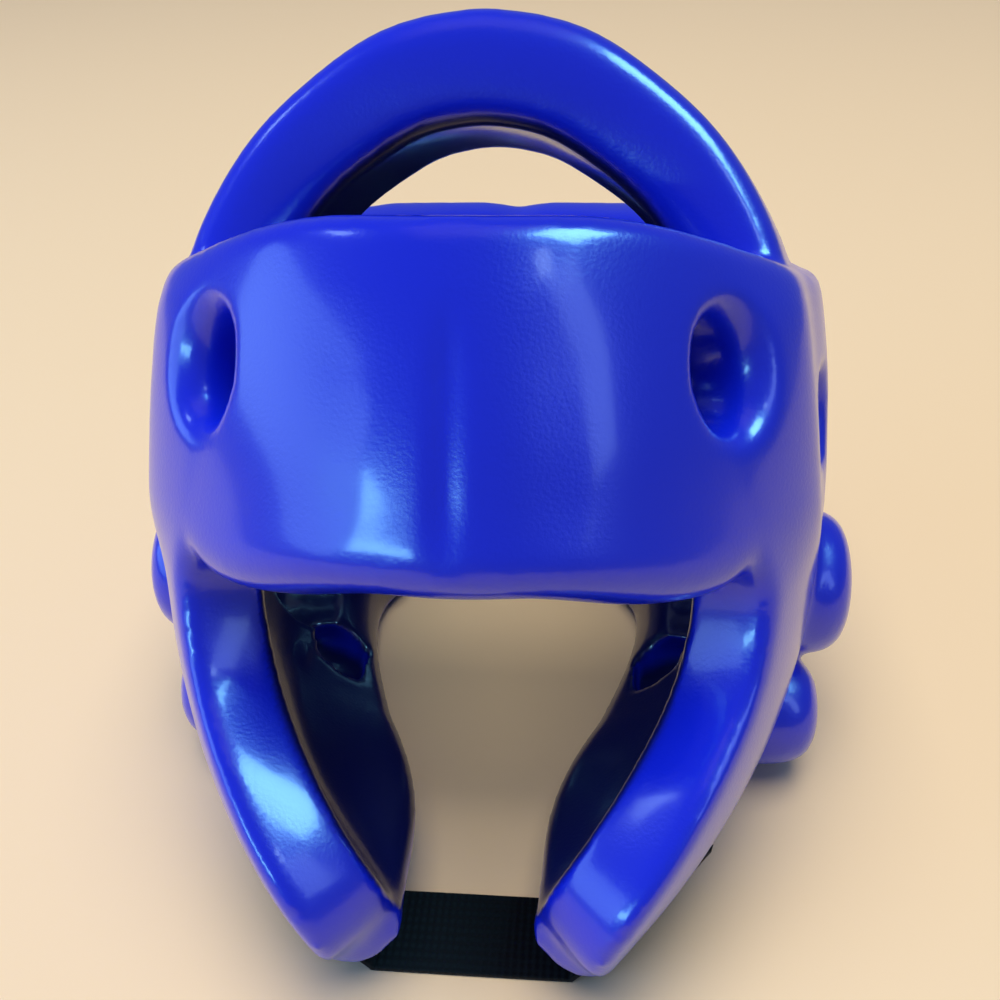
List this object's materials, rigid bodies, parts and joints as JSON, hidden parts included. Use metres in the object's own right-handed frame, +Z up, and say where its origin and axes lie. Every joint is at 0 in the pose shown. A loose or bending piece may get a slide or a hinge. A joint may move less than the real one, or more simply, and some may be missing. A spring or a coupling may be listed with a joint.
{
  "type": "taekwondo headgear",
  "caption": "Glossy blue moulded foam taekwondo headgear with open face, crown arch, side vents, ear domes, curved cheek guards and a black elastic chin strap.",
  "frame": {"origin": "centre of the bounding box at the surface that the headgear stands on", "axes": "+Z up, -Y towards the face opening, +X to the right as seen from the front; left and right are alike, and the crown leans back"},
  "size_m": [0.23, 0.2694, 0.2327],
  "materials": {
    "dipped_foam": "gloss",
    "elastic_webbing": "matte",
    "black_plastic": "satin"
  },
  "bodies": {
    "root": {"head_shell": "dipped_foam", "chin_strap": "elastic_webbing", "strap_button_right": "black_plastic", "strap_button_left": "black_plastic"}
  },
  "joints": []
}
